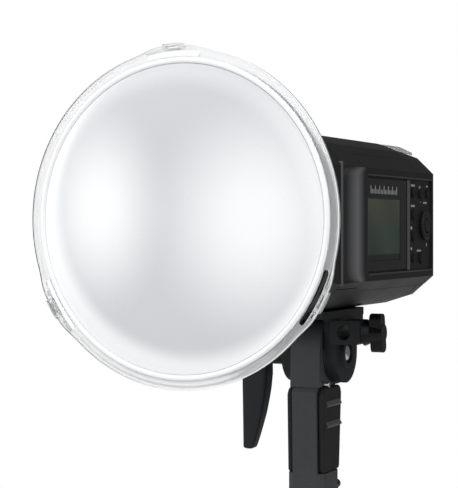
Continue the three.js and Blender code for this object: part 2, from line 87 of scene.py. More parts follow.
def skin(name, points, closeU=False):
    # A grid closed round its columns, with its seams and poles merged.
    mesh = meshFrom(name, points, closeU=closeU, closeV=True)
    weld(mesh)
    return mesh


def poled(rings):
    # Ends a tube of rings with a middle point at each end.
    ends = [np.repeat(rings[i].mean(axis=0)[None, None], rings.shape[1], axis=1) for i in (0, -1)]
    return np.concatenate([ends[0], rings, ends[1]])


def circle(steps):
    # Angles once round, in even steps.
    return np.linspace(0, 2 * np.pi, steps, endpoint=False)


def placed(axis, u, v, w):
    # Points with u and v across and w along the named axis.
    return np.stack({"x": (w, u, v), "y": (u, w, v), "z": (u, v, w)}[axis], axis=-1)


def smooth(mesh):
    mesh.polygons.foreach_set("use_smooth", np.ones(len(mesh.polygons), dtype=bool))


def joined(name, meshes):
    # Several meshes as one.
    work = bmesh.new()
    for mesh in meshes:
        work.from_mesh(mesh)
    result = bpy.data.meshes.new(name)
    work.to_mesh(result)
    work.free()
    return result


def piece(name, mesh, body, material, replaced=(), smoothAngle=35):
    # Puts a finished mesh on a body as a piece of its own.
    obj = bpy.data.objects.new(name, mesh)
    bpy.context.scene.collection.objects.link(obj)
    mesh.materials.clear()
    mesh.materials.append(material)
    if smoothAngle is not None:
        smooth(mesh)
        mesh.set_sharp_from_angle(angle=np.radians(smoothAngle))
    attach(obj, body)
    if replaced:
        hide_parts(*replaced)
    return obj


def rounded(corners, radius, steps=4):
    # A polygon whose corners are replaced with parabolic bends: each bend runs from the point one radius
    # before the corner to the point one radius after it, pulled towards the corner.
    corners = np.asarray(corners, float)
    radius = np.broadcast_to(radius, len(corners))
    before, after = np.roll(corners, 1, axis=0) - corners, np.roll(corners, -1, axis=0) - corners
    lengthB, lengthA = np.linalg.norm(before, axis=1), np.linalg.norm(after, axis=1)
    reach = np.minimum(radius, 0.48 * np.minimum(lengthB, lengthA))
    start = corners + before * (reach / np.maximum(lengthB, 1e-12))[:, None]
    end = corners + after * (reach / np.maximum(lengthA, 1e-12))[:, None]
    t = np.linspace(0, 1, steps + 1)[None, :, None]
    bends = (1 - t) ** 2 * start[:, None] + 2 * t * (1 - t) * corners[:, None] + t**2 * end[:, None]
    return bends.reshape(-1, 2)


def turned(name, profile, segments=192, centre=(0, 0, lampZ), axis="y", close=True):
    # A profile of [radius, place along the axis] carried round the axis, point by point.
    profile = np.asarray(profile, float)
    angle = circle(segments)
    radius, along = profile[:, 0][:, None], profile[:, 1][:, None]
    u, v, w = radius * np.cos(angle), radius * np.sin(angle), along + 0 * angle
    return skin(name, placed(axis, u, v, w) + np.array(centre), closeU=close)


def slab(name, outline, axis, low, high, edge=0.0, steps=3):
    # A flat outline carried from low to high along an axis, its rims rounded over by the edge radius.
    outline = np.asarray(outline, float)
    ahead = np.roll(outline, -1, axis=0) - np.roll(outline, 1, axis=0)
    normal = np.stack([ahead[:, 1], -ahead[:, 0]], axis=1)
    normal /= np.maximum(np.linalg.norm(normal, axis=1), 1e-12)[:, None]
    area = np.sum(outline[:, 0] * np.roll(outline[:, 1], -1) - np.roll(outline[:, 0], -1) * outline[:, 1])
    normal *= np.sign(area)
    bend = np.linspace(0, np.pi / 2, steps + 1)
    hold = edge + rimHold * mm
    inset = np.concatenate([[hold], edge * (1 - np.sin(bend)), edge * (1 - np.cos(bend)), [hold]])
    depth = np.concatenate([[low], low + edge * (1 - np.cos(bend)), high - edge * (1 - np.sin(bend)), [high]])
    rings = outline[None] - normal[None] * inset[:, None, None]
    middle = outline.mean(axis=0)
    first = np.broadcast_to(middle, rings[:1].shape)
    rings = np.concatenate([first, rings, first])
    depth = np.concatenate([[low], depth, [high]])
    u, v = rings[..., 0], rings[..., 1]
    w = np.broadcast_to(depth[:, None], u.shape)
    return skin(name, placed(axis, u, v, w))


def softCopy(name, node, width, segments=3, angle=24):
    # A copy of a CAD node with its flat faces merged and its edges rounded over.
    source = nodes[node]
    mesh = source.data.copy()
    mesh.name = name
    mesh.transform(source.matrix_world)
    work = bmesh.new()
    work.from_mesh(mesh)
    bmesh.ops.remove_doubles(work, verts=work.verts, dist=2e-6)
    bmesh.ops.dissolve_limit(work, angle_limit=np.radians(1.2), verts=work.verts, edges=work.edges)
    work.to_mesh(mesh)
    work.free()
    obj = bpy.data.objects.new(name, mesh)
    bpy.context.scene.collection.objects.link(obj)
    bevel = obj.modifiers.new("edges", "BEVEL")
    bevel.width = width
    bevel.segments = segments
    bevel.limit_method = "ANGLE"
    bevel.angle_limit = np.radians(angle)
    bevel.use_clamp_overlap = True
    smooth(mesh)
    weighted = obj.modifiers.new("facing", "WEIGHTED_NORMAL")
    weighted.weight = 80
    depsgraph = bpy.context.evaluated_depsgraph_get()
    result = bpy.data.meshes.new_from_object(obj.evaluated_get(depsgraph))
    bpy.data.objects.remove(obj)
    return result


def newGroup(name, inputs, outputs):
    group = bpy.data.node_groups.new(name, "ShaderNodeTree")
    for label, kind, value in inputs:
        item = group.interface.new_socket(label, in_out="INPUT", socket_type=kind)
        item.default_value = value
    for label, kind in outputs:
        group.interface.new_socket(label, in_out="OUTPUT", socket_type=kind)
    return group, group.nodes.new("NodeGroupInput"), group.nodes.new("NodeGroupOutput")


def link(tree, source, target):
    tree.links.new(source, target)


def setInputs(node, **values):
    # An underscore in a name stands for the space in the socket's own name.
    for name, value in values.items():
        node.inputs[name.replace("_", " ")].default_value = value


def maths(tree, operation, *inputs):
    # Numbers become the node's values and sockets its links.
    node = tree.nodes.new("ShaderNodeMath")
    node.operation = operation
    for socket, source in zip(node.inputs, inputs):
        if isinstance(source, (int, float)):
            socket.default_value = source
        else:
            link(tree, source, socket)
    return node


def noise(tree, place, scale, detail=2):
    node = tree.nodes.new("ShaderNodeTexNoise")
    setInputs(node, Scale=scale, Detail=detail)
    link(tree, place, node.inputs["Vector"])
    return node.outputs["Fac"]


def spread(tree, value, **ends):
    # Maps a value from one range to another.
    node = tree.nodes.new("ShaderNodeMapRange")
    setInputs(node, **ends)
    link(tree, value, node.inputs["Value"])
    return node.outputs["Result"]


def addBump(tree, shader, height, strength, distance):
    bump = tree.nodes.new("ShaderNodeBump")
    setInputs(bump, Strength=strength, Distance=distance)
    link(tree, height, bump.inputs["Height"])
    link(tree, bump.outputs["Normal"], shader.inputs["Normal"])


def rampAlong(tree, place, axis, low, high, steps):
    # Colours spread between two places along one axis.
    axes = tree.nodes.new("ShaderNodeSeparateXYZ")
    ramp = tree.nodes.new("ShaderNodeValToRGB")
    elements = ramp.color_ramp.elements
    while len(elements) < len(steps):
        elements.new(0.5)
    for element, (spot, colour) in zip(elements, steps):
        element.position = spot
        element.color = (*colour, 1)
    link(tree, place, axes.inputs[0])
    link(tree, spread(tree, axes.outputs[axis], From_Min=low, From_Max=high), ramp.inputs["Fac"])
    return ramp.outputs["Color"]


grainLook = {"scale": 900.0, "broad": 22}


def makeGrain():
    # Moulded grain: two sizes of noise tint the colour, vary the roughness and raise a fine relief.
    group, inside, outside = newGroup(
        "mouldedGrain",
        [("Light", "NodeSocketColor", (0.1, 0.1, 0.1, 1)), ("Dark", "NodeSocketColor", (0.05, 0.05, 0.05, 1)),
         ("Scale", "NodeSocketFloat", grainLook["scale"]), ("Rough Low", "NodeSocketFloat", 0.4),
         ("Rough High", "NodeSocketFloat", 0.6)],
        [("Color", "NodeSocketColor"), ("Roughness", "NodeSocketFloat"), ("Height", "NodeSocketFloat")])
    place = group.nodes.new("ShaderNodeTexCoord").outputs["Object"]
    fine = noise(group, place, grainLook["scale"], 3)
    broad = noise(group, place, grainLook["broad"], 4)
    link(group, inside.outputs["Scale"], fine.node.inputs["Scale"])
    half = maths(group, "MULTIPLY", broad, 0.5).outputs[0]
    blend = maths(group, "MULTIPLY_ADD", fine, 0.5, half).outputs[0]
    tint = group.nodes.new("ShaderNodeMix")
    tint.data_type = "RGBA"
    link(group, blend, tint.inputs["Factor"])
    link(group, inside.outputs["Dark"], tint.inputs["A"])
    link(group, inside.outputs["Light"], tint.inputs["B"])
    rough = spread(group, broad, From_Min=0.3, From_Max=0.7)
    link(group, inside.outputs["Rough Low"], rough.node.inputs["To Min"])
    link(group, inside.outputs["Rough High"], rough.node.inputs["To Max"])
    link(group, tint.outputs["Result"], outside.inputs["Color"])
    link(group, rough, outside.inputs["Roughness"])
    link(group, fine, outside.inputs["Height"])
    return group


def startMaterial(name):
    material = bpy.data.materials.new(name)
    material.use_nodes = True
    tree = material.node_tree
    shader = tree.nodes["Principled BSDF"]
    return material, tree, shader


def grained(name, grain, light, dark, scale=900, rough=(0.4, 0.6), relief=0.15, reach=0.0002, **constants):
    # A moulded or painted surface. Constants go straight onto the shader's own sockets.
    material, tree, shader = startMaterial(name)
    group = tree.nodes.new("ShaderNodeGroup")
    group.node_tree = grain
    setInputs(group, Light=(*light, 1), Dark=(*dark, 1), Scale=scale, Rough_Low=rough[0], Rough_High=rough[1])
    link(tree, group.outputs["Color"], shader.inputs["Base Color"])
    link(tree, group.outputs["Roughness"], shader.inputs["Roughness"])
    addBump(tree, shader, group.outputs["Height"], relief, reach)
    setInputs(shader, **constants)
    return material


def spotMask(group, place, centre, reach, inner, outer):
    # One soft spot: the distance from a centre, scaled on each axis, eased from one inside to nought outside.
    away = group.nodes.new("ShaderNodeVectorMath")
    away.operation = "SUBTRACT"
    away.inputs[1].default_value = (centre[0] * mm, 0, lampZ + centre[1] * mm)
    scaled = group.nodes.new("ShaderNodeVectorMath")
    scaled.operation = "MULTIPLY"
    scaled.inputs[1].default_value = (1 / (reach[0] * mm), 0, 1 / (reach[1] * mm))
    size = group.nodes.new("ShaderNodeVectorMath")
    size.operation = "LENGTH"
    link(group, place, away.inputs[0])
    link(group, away.outputs[0], scaled.inputs[0])
    link(group, scaled.outputs[0], size.inputs[0])
    ease = spread(group, size.outputs["Value"], From_Min=outer, From_Max=inner)
    ease.node.interpolation_type = "SMOOTHSTEP"
    return ease


# Painted highlights on the dish: a spot's mask gives its centre on the dish, reach across and up, and where its
# edge starts and ends.
dish = {"grey": (0.60, 0.61, 0.63, 1), "bright": (0.97, 0.97, 0.97, 1), "stipple": 1500, "speckle": 0.16,
        "relief": 0.12, "reliefReach": 0.0002,
        "paintedHighlightSpots": [{"mask": ((-53, 6), (40, 56), 0.1, 1.3), "level": 0.88},
                  {"mask": ((52, 0), (56, 60), 0.1, 1.4), "level": 0.85},
                  {"mask": ((7, 9), (100, 100), 0.99, 0.86), "level": 0.75},
                  {"mask": ((-2, -6), (100, 100), 0.97, 0.84), "level": 0.3}]}


def makeDishPaintedHighlights():
    # Painted highlights on the frosted dish, standing in for the light of the bright bowl behind it: two broad
    # soft patches either side of a greyer middle band, and a bright crescent low on the edge.
    group, inside, outside = newGroup("dishPaintedHighlights", [("Strength", "NodeSocketFloat", 1.0)],
                                      [("Mask", "NodeSocketFloat"), ("Speckle", "NodeSocketFloat")])
    place = group.nodes.new("ShaderNodeTexCoord").outputs["Object"]
    total = None
    for spot in dish["paintedHighlightSpots"]:
        level = maths(group, "MULTIPLY", spotMask(group, place, *spot["mask"]), spot["level"]).outputs[0]
        total = level if total is None else maths(group, "ADD", total, level).outputs[0]
    stipple = noise(group, place, dish["stipple"], 1)
    speck = maths(group, "MULTIPLY_ADD", stipple, dish["speckle"], -0.5 * dish["speckle"]).outputs[0]
    whole = maths(group, "ADD", total, speck)
    whole.use_clamp = True
    strength = maths(group, "MULTIPLY", whole.outputs[0], inside.outputs["Strength"]).outputs[0]
    link(group, strength, outside.inputs["Mask"])
    link(group, stipple, outside.inputs["Speckle"])
    return group


def makeDishMaterial():
    material, tree, shader = startMaterial("frostedDish")
    paintedLight = tree.nodes.new("ShaderNodeGroup")
    paintedLight.node_tree = makeDishPaintedHighlights()
    tint = tree.nodes.new("ShaderNodeMix")
    tint.data_type = "RGBA"
    # Painted highlights: the dish's colour goes from grey to white by the mask.
    setInputs(tint, A=dish["grey"], B=dish["bright"])
    link(tree, paintedLight.outputs["Mask"], tint.inputs["Factor"])
    link(tree, tint.outputs["Result"], shader.inputs["Base Color"])
    addBump(tree, shader, paintedLight.outputs["Speckle"], dish["relief"], dish["reliefReach"])
    setInputs(shader, Roughness=0.45, Specular_IOR_Level=0.3)
    return material


screenLook = {"low": -27.9, "high": 15.0, "paintedSheen": 9, "paintedSheenLow": 0.9, "paintedSheenHigh": 1.15,
              "steps": [(0.0, (0.008, 0.007, 0.010)), (0.085, (0.008, 0.007, 0.010)),
                        (0.10, (0.024, 0.040, 0.029)), (0.5, (0.030, 0.047, 0.033)),
                        (1.0, (0.052, 0.058, 0.036))]}


def makeScreenMaterial():
    # An unlit display: olive at the top, greener below, with a faint slanting painted sheen and a dark foot.
    material, tree, shader = startMaterial("screenFace")
    place = tree.nodes.new("ShaderNodeTexCoord").outputs["Object"]
    low, high = (lampZ + screenLook[key] * mm for key in ("low", "high"))
    colour = rampAlong(tree, place, "Z", low, high, screenLook["steps"])
    # The painted sheen: diagonal wave bands multiplied into the colour.
    paintedSheen = tree.nodes.new("ShaderNodeTexWave")
    paintedSheen.bands_direction = "DIAGONAL"
    setInputs(paintedSheen, Scale=screenLook["paintedSheen"], Distortion=2, Detail=2)
    tinted = tree.nodes.new("ShaderNodeMix")
    tinted.data_type = "RGBA"
    tinted.blend_type = "MULTIPLY"
    tinted.inputs["Factor"].default_value = 1
    link(tree, place, paintedSheen.inputs["Vector"])
    level = spread(tree, paintedSheen.outputs["Fac"], To_Min=screenLook["paintedSheenLow"], To_Max=screenLook["paintedSheenHigh"])
    link(tree, colour, tinted.inputs["A"])
    link(tree, level, tinted.inputs["B"])
    link(tree, tinted.outputs["Result"], shader.inputs["Base Color"])
    setInputs(shader, Roughness=0.18, Specular_IOR_Level=0.2)
    return material


# The pocket's colours along its length: black, with a painted highlight band near the rear where the hollow
# rises.
pocketLook = {"front": -0.100, "rear": -0.060, "speck": 1400, "smoothest": 0.36, "roughest": 0.48,
              "steps": [(0.0, (0.012, 0.012, 0.013)), (0.5, (0.018, 0.018, 0.019)),
                        (0.86, (0.120, 0.121, 0.126)), (1.0, (0.030, 0.030, 0.032))]}


def makePocketMaterial():
    # The shell's black, painted lighter where the hollow rises to the panel: a painted highlight.
    material, tree, shader = startMaterial("pocketShell")
    place = tree.nodes.new("ShaderNodeTexCoord").outputs["Object"]
    colour = rampAlong(tree, place, "Y", pocketLook["front"], pocketLook["rear"], pocketLook["steps"])
    speck = noise(tree, place, pocketLook["speck"])
    rough = spread(tree, speck, To_Min=pocketLook["smoothest"], To_Max=pocketLook["roughest"])
    link(tree, colour, shader.inputs["Base Color"])
    link(tree, rough, shader.inputs["Roughness"])
    shader.inputs["Specular IOR Level"].default_value = 0.2
    return material


rimEdgeShadeAndHighlight = {"left": -0.095, "middle": 0.0, "steps": [(0.0, (0.10, 0.10, 0.105)), (1.0, (0.95, 0.95, 0.96))]}


def makeEdgeMaterial():
    # Dark on the left of the rim and pale to the right: painted shade and a painted highlight on the clear
    # rim's edge.
    material, tree, shader = startMaterial("rimEdge")
    place = tree.nodes.new("ShaderNodeTexCoord").outputs["Object"]
    colour = rampAlong(tree, place, "X", rimEdgeShadeAndHighlight["left"], rimEdgeShadeAndHighlight["middle"], rimEdgeShadeAndHighlight["steps"])
    link(tree, colour, shader.inputs["Base Color"])
    shader.inputs["Roughness"].default_value = 0.3
    return material


grain = makeGrain()
finishes = {
    "shell": grained("blackShell", grain, (0.013, 0.013, 0.013), (0.009, 0.009, 0.0092), 1400, (0.42, 0.5),
                     0.12, Specular_IOR_Level=0.14),
    "handle": grained("handleShell", grain, (0.052, 0.053, 0.056), (0.034, 0.035, 0.037), 220, (0.45, 0.6),
                      0.15, Specular_IOR_Level=0.2),
    "casting": grained("greyShell", grain, (0.019, 0.020, 0.022), (0.012, 0.013, 0.014), 1100, (0.45, 0.55),
                       0.2, Specular_IOR_Level=0.16),
    "satin": grained("satinPlastic", grain, (0.009, 0.009, 0.010), (0.006, 0.006, 0.007), 1500, (0.35, 0.45),
                     0.08, Specular_IOR_Level=0.2),
    "knob": grained("knobPlastic", grain, (0.006, 0.006, 0.0065), (0.004, 0.004, 0.0045), 900, (0.2, 0.3),
                    0.06, Specular_IOR_Level=0.2),
    "keys": grained("keyRubber", grain, (0.012, 0.012, 0.012), (0.008, 0.008, 0.008), 1800, (0.6, 0.7), 0.1,
                    Specular_IOR_Level=0.15),
    "grip": grained("gripRubber", grain, (0.020, 0.020, 0.021), (0.013, 0.013, 0.014), 700, (0.6, 0.72), 0.3,
                    Specular_IOR_Level=0.14),
    "gloss": grained("panelGloss", grain, (0.008, 0.008, 0.009), (0.006, 0.006, 0.007), 60, (0.08, 0.12), 0.0,
                     Specular_IOR_Level=0.2),
    "frost": makeDishMaterial(),
    "bead": grained("brightBead", grain, (0.95, 0.95, 0.95), (0.90, 0.90, 0.91), 500, (0.25, 0.35), 0.05),
    "clear": grained("clearPlastic", grain, (0.97, 0.975, 0.98), (0.90, 0.905, 0.91), 900, (0.30, 0.42), 0.03,
                     Transmission_Weight=0.8, IOR=1.2),
    "window": grained("sensorCover", grain, (0.80, 0.80, 0.79), (0.70, 0.70, 0.69), 400, (0.12, 0.2), 0.05,
                      Transmission_Weight=0.5, IOR=1.45),
    "pocket": makePocketMaterial(),
    # A lighter black for ribs, ridges and the panel's rib: a painted highlight for the light they catch.
    "ridge": grained("paintedHighlightEdge", grain, (0.07, 0.07, 0.072), (0.05, 0.05, 0.052), 800, (0.35, 0.45), 0.1),
    # A grey a little lighter than the shell: painted highlight lines along the panel's bevelled edges.
    "edge": grained("paintedHighlightLine", grain, (0.035, 0.035, 0.036), (0.025, 0.025, 0.026), 800, (0.35, 0.45), 0.1),
    "print": grained("palePrint", grain, (0.34, 0.34, 0.35), (0.26, 0.26, 0.27), 1500, (0.5, 0.6), 0.05),
    "white": grained("whitePlastic", grain, (0.62, 0.62, 0.62), (0.52, 0.52, 0.52), 900, (0.35, 0.45), 0.05),
    "steel": grained("turnedSteel", grain, (0.50, 0.50, 0.51), (0.38, 0.38, 0.39), 1200, (0.25, 0.4), 0.1,
                     Metallic=1.0),
    "chrome": grained("brightSteel", grain, (0.75, 0.75, 0.76), (0.62, 0.62, 0.64), 600, (0.1, 0.18), 0.02,
                      Metallic=1.0),
    "silver": grained("silverBowl", grain, (0.82, 0.83, 0.84), (0.70, 0.71, 0.72), 260, (0.2, 0.3),
                      0.6, 0.0008, Metallic=1.0),
    "lcd": makeScreenMaterial(),
    "board": grained("solderMask", grain, (0.02, 0.14, 0.06), (0.012, 0.08, 0.035), 300, (0.35, 0.5), 0.2),
    "sleeve": grained("shrinkSleeve", grain, (0.02, 0.022, 0.03), (0.012, 0.013, 0.02), 200, (0.3, 0.4), 0.05),
    "copper": grained("woundCopper", grain, (0.55, 0.26, 0.12), (0.35, 0.16, 0.07), 500, (0.35, 0.5), 0.4,
                      Metallic=1.0),
    "glass": grained("tubeGlass", grain, (0.9, 0.93, 0.93), (0.85, 0.88, 0.88), 100, (0.03, 0.05), 0.0,
                     Transmission_Weight=1.0, IOR=1.46),
}
print("materials made:", len(finishes))


keptNodes = {
    "steel": ["reflector_bayonet", "bayonet_socket", "friction_washer_right", "friction_washer_left",
              "stand_lock_screw", "umbrella_screw"],
    "board": ["main_board", "power_board"],
    "sleeve": ["capacitor_a", "capacitor_b", "capacitor_c"],
    "copper": ["charge_transformer", "battery_contacts"],
    "satin": ["battery_bay", "buzzer", "fan_frame", "fan_rotor"],
    "white": ["tube_base", "trigger_coil", "modelling_lamp"],
    "glass": ["flash_tube"],
}
for finish, names in keptNodes.items():
    for name in names:
        data = nodes[name].data
        data.materials.clear()
        data.materials.append(finishes[finish])
print("carried nodes finished")


# A cut is what is taken out at each lobe: its radii, its turn from the lobe's middle and its half width.
rim = {"front": rimFront / mm, "lobe": 1.9, "angles": (92.4, 212.4, 332.4), "lobeFlat": 5.5, "lobeHalf": 15.5,
       "segments": 720,
       "cuts": {"slot": (98.8, 102.6, 0, 9.4), "pocket": (103.35, 104.2, 7.6, 2.6),
                "window": (103.3, 104.6, -5.7, 0.75), "seat": (103.5, 105.5, 0, 2.3)}}


def fromLobe(angle):
    # Signed distance in degrees to the nearest lobe's middle.
    turn = (np.degrees(angle)[None] - np.array(rim["angles"])[:, None] + 180) % 360 - 180
    return turn[np.abs(turn).argmin(axis=0), np.arange(len(angle))]


def lobeRise(angle):
    # A smooth bump over each lobe, flat over its middle, with a cosine step down on either side.
    far = np.clip((np.abs(fromLobe(angle)) - rim["lobeFlat"]) / (rim["lobeHalf"] - rim["lobeFlat"]), 0, 1)
    return 0.5 + 0.5 * np.cos(np.pi * far)


def arcSlot(inner, outer, middle, half, steps=24):
    # The outline of a slot bent round the axis: two arcs joined by half circles.
    a = np.radians(np.linspace(middle - half, middle + half, steps))
    turn = np.linspace(0, np.pi, 9)[1:-1]
    mid, wide = 0.5 * (inner + outer), 0.5 * (outer - inner)
    polar = lambda radius, angle: np.stack([radius * np.cos(angle), radius * np.sin(angle)], axis=-1)
    outward, inward = polar(outer, a), polar(inner, a[::-1])
    endA = polar(mid + wide * np.cos(turn), a[-1] + wide / mid * np.sin(turn))
    endB = polar(mid - wide * np.cos(turn), a[0] - wide / mid * np.sin(turn))
    return np.concatenate([outward, endA, inward, endB]) * mm + np.array([0, lampZ])


def carve(mesh, cutters):
    # Takes the cutters' volume out of a closed mesh.
    obj = bpy.data.objects.new("carved", mesh)
    tool = bpy.data.objects.new("cutter", joined("cutter", cutters))
    for item in (obj, tool):
        bpy.context.scene.collection.objects.link(item)
    modifier = obj.modifiers.new("cut", "BOOLEAN")
    modifier.operation = "DIFFERENCE"
    modifier.solver = "EXACT"
    modifier.object = tool
    depsgraph = bpy.context.evaluated_depsgraph_get()
    result = bpy.data.meshes.new_from_object(obj.evaluated_get(depsgraph))
    bpy.data.objects.remove(obj)
    bpy.data.objects.remove(tool)
    return result


def makeRim():
    # A thin clear flange with a raised edge: the profile's outer points swing out over each lobe by the
    # lobe's rise, which also lifts them a little forward.
    front = rim["front"]
    # radius, place along the axis, share of the lobe's rise
    profile = np.array([
        [98.2, 1.3, 0], [98.6, 1.0, 0], [100.5, 1.0, 0], [102.0, 1.05, 0.2], [102.6, 1.0, 0.8],
        [103.1, 0.8, 1], [103.7, 0.8, 1], [104.05, 1.1, 1], [104.1, 1.6, 1], [104.1, 2.9, 1],
        [103.9, 3.3, 1], [103.5, 3.4, 1], [102.6, 3.4, 0.8], [102.0, 2.6, 0.2], [100.5, 2.2, 0],
        [98.6, 2.2, 0], [98.2, 2.0, 0]])
    angle = circle(rim["segments"])
    rise = lobeRise(angle)[None]
    radius = (profile[:, 0:1] + profile[:, 2:3] * rise * rim["lobe"]) * mm
    along = (front + profile[:, 1:2] - 0.15 * profile[:, 2:3] * rise) * mm
    points = np.stack([radius * np.cos(angle), along + 0 * angle, lampZ + radius * np.sin(angle)], axis=-1)
    low, high = (front - 1) * mm, (front + 5.5) * mm
    cutters = []
    for middle in rim["angles"]:
        for name, (inner, outer, turn, half) in rim["cuts"].items():
            cutters.append(slab(name, arcSlot(inner, outer, middle + turn, half), "y", low, high))
    return carve(skin("rim", points, closeU=True), cutters)


rimBead = {"radius": 103.85, "behind": 0.95, "thick": 0.3, "around": 10}


def makeRimEdge():
    # A fine bead carried round the flange's front edge, out over the lobes by their rise.
    angle = circle(rim["segments"])
    around = circle(rimBead["around"])[:, None]
    radius = rimBead["radius"] + lobeRise(angle)[None] * rim["lobe"] + rimBead["thick"] * np.cos(around)
    along = rim["front"] + rimBead["behind"] + rimBead["thick"] * np.sin(around) + 0 * angle
    points = np.stack([radius * np.cos(angle), along, radius * np.sin(angle)], axis=-1) * mm
    points[..., 2] += lampZ
    return skin("rimEdge", points, closeU=True)


clip = {"radii": (102.95, 107.0), "half": 3.7, "corner": 0.7, "front": 0.2, "rear": 4.3, "edge": 0.35,
        "dash": (103.9, 105.3), "dashHalf": 1.9, "past": 1, "behind": 7}


def makeClips():
    # On each lobe a raised frame round a dash-shaped hole: a ring's sector with the dash taken out of it.
    blocks = []
    for middle in rim["angles"]:
        outline = rounded(arcBlock(*clip["radii"], middle, clip["half"]), clip["corner"] * mm)
        block = slab("clip", outline, "y", (rim["front"] + clip["front"]) * mm,
                     (rim["front"] + clip["rear"]) * mm, clip["edge"] * mm)
        dash = slab("dash", arcSlot(*clip["dash"], middle, clip["dashHalf"]), "y",
                    (rim["front"] - clip["past"]) * mm, (rim["front"] + clip["behind"]) * mm)
        blocks.append(carve(block, [dash]))
    return joined("clips", blocks)


def arcBlock(inner, outer, middle, half, steps=7):
    # The corners of a ring's sector, with points along its two arcs.
    a = np.radians(np.linspace(middle - half, middle + half, steps))
    both = np.concatenate([np.stack([outer * np.cos(a), outer * np.sin(a)], axis=-1),
                           np.stack([inner * np.cos(a[::-1]), inner * np.sin(a[::-1])], axis=-1)])
    return both * mm + np.array([0, lampZ])


dome = {"radius": 93.4, "proud": 2.5, "fall": 3.2, "backProud": 1.0, "backFall": 3.4}


def makeDish():
    # A shallow dome: its front falls back by the fourth power of the radius, with a groove at its edge.
    front = rim["front"]
    r = np.linspace(0, dome["radius"], 48)
    share = (r / dome["radius"]) ** 4
    face = np.stack([r, front - dome["proud"] + dome["fall"] * share], axis=-1)
    edge = [[94.0, front + 0.85], [94.5, front + 1.0], [94.6, front + 2.4]]
    back = np.stack([r[::-1], front - dome["backProud"] + dome["backFall"] * share[::-1]], axis=-1)
    return turned("dish", np.concatenate([face, edge, back]) * mm, 256, close=False)


bead = {"radius": 96.45, "half": 1.75, "foot": 1.4, "proud": 1.5, "rear": 3.0}


def makeRing():
    # The bright bead between the dish and the clear rim, a half ellipse in section.
    front, radius, half = rim["front"], bead["radius"], bead["half"]
    bend = np.linspace(0, np.pi, 13)
    crest = np.stack([radius + half * np.cos(bend), front + bead["foot"] - bead["proud"] * np.sin(bend)],
                     axis=-1)[::-1]
    under = [[radius + half, front + bead["rear"]], [radius - half, front + bead["rear"]]]
    return turned("ring", np.concatenate([crest, under]) * mm, 256)


piece("diffuserDish", makeDish(), "diffuser", finishes["frost"], ["diffuser_cap"], smoothAngle=50)
piece("diffuserEdge", makeRimEdge(), "diffuser", makeEdgeMaterial(), smoothAngle=80)
piece("diffuserRing", makeRing(), "diffuser", finishes["bead"], smoothAngle=50)
piece("diffuserRim", makeRim(), "diffuser", finishes["clear"], smoothAngle=40)
piece("diffuserClips", makeClips(), "diffuser", finishes["clear"], smoothAngle=40)
print("diffuser made")


lip = {"radius": 97.2, "thick": 1.5, "behind": 6.1}


def makeReflectorSkin():
    # Black outside: the rolled rim, then the cone down to the neck, with a step near its foot.
    front = rim["front"]
    bend = np.linspace(-0.25 * np.pi, 1.2 * np.pi, 15)
    rolled = np.stack([lip["radius"] + lip["thick"] * np.cos(-bend),
                       front + lip["behind"] + lip["thick"] * np.sin(-bend)], axis=-1)[::-1]
    outside = [[97.2, -211], [96.4, -206], [89.3, -183], [76.4, -159.8], [61.2, -142.8], [51.6, -135.2],
               [51.0, -134.4], [45.2, -134.3], [45.2, -134.8]]
    inside = [[51.0, -135.3], [60.7, -143.2], [76.0, -160.4], [88.8, -183.4], [95.8, -206.4]]
    profile = np.concatenate([rolled, outside, inside])
    return turned("skin", profile * mm, 192)


bowl = {"dimples": 0.35, "ringsOut": 34, "ringsRound": 84, "steps": 120, "around": 504, "smoothing": 30,
        "inset": 0.25, "wall": 0.15, "behind": 0.12}


def makeBowl():
    # The bright inside, a smooth curve of hammered facets: the radius is lowered by the product of two
    # sine waves, one along the bowl and one round it.
    t = np.linspace(0, 1, bowl["steps"])[:, None]
    knots = np.array([[95.4, -212.6], [94.8, -206.8], [87.6, -184.0], [74.6, -161.2], [59.6, -144.4],
                      [50.6, -136.8], [45.6, -136.0]])
    reach = np.concatenate([[0], np.cumsum(np.linalg.norm(np.diff(knots, axis=0), axis=1))])
    reach /= reach[-1]
    path = np.stack([np.interp(t[:, 0], reach, knots[:, 0]), np.interp(t[:, 0], reach, knots[:, 1])], axis=-1)
    for _ in range(bowl["smoothing"]):
        path[1:-1] = 0.5 * path[1:-1] + 0.25 * (path[:-2] + path[2:])
    angle = circle(bowl["around"])[None]
    fade = np.sin(np.pi * np.clip(t * 1.02, 0, 1)) ** 0.3
    waves = np.sin(t * np.pi * bowl["ringsOut"]) * np.sin(angle * bowl["ringsRound"]) * bowl["dimples"] * fade
    inner = np.stack([path[:, 0:1] - bowl["inset"] + bowl["inset"] * waves, path[:, 1:2] + 0 * angle], axis=-1)
    outer = path[::-1, None] + np.array([bowl["wall"], bowl["behind"]]) + 0 * inner
    radius, along = np.moveaxis(np.concatenate([inner, outer]) * mm, -1, 0)
    points = np.stack([radius * np.cos(angle), along, lampZ + radius * np.sin(angle)], axis=-1)
    return skin("bowl", points, closeU=True)


piece("reflectorSkin", makeReflectorSkin(), "reflector", finishes["satin"], ["reflector_shell"], smoothAngle=40)
piece("reflectorBowl", makeBowl(), "reflector", finishes["silver"], smoothAngle=60)
print("reflector made")


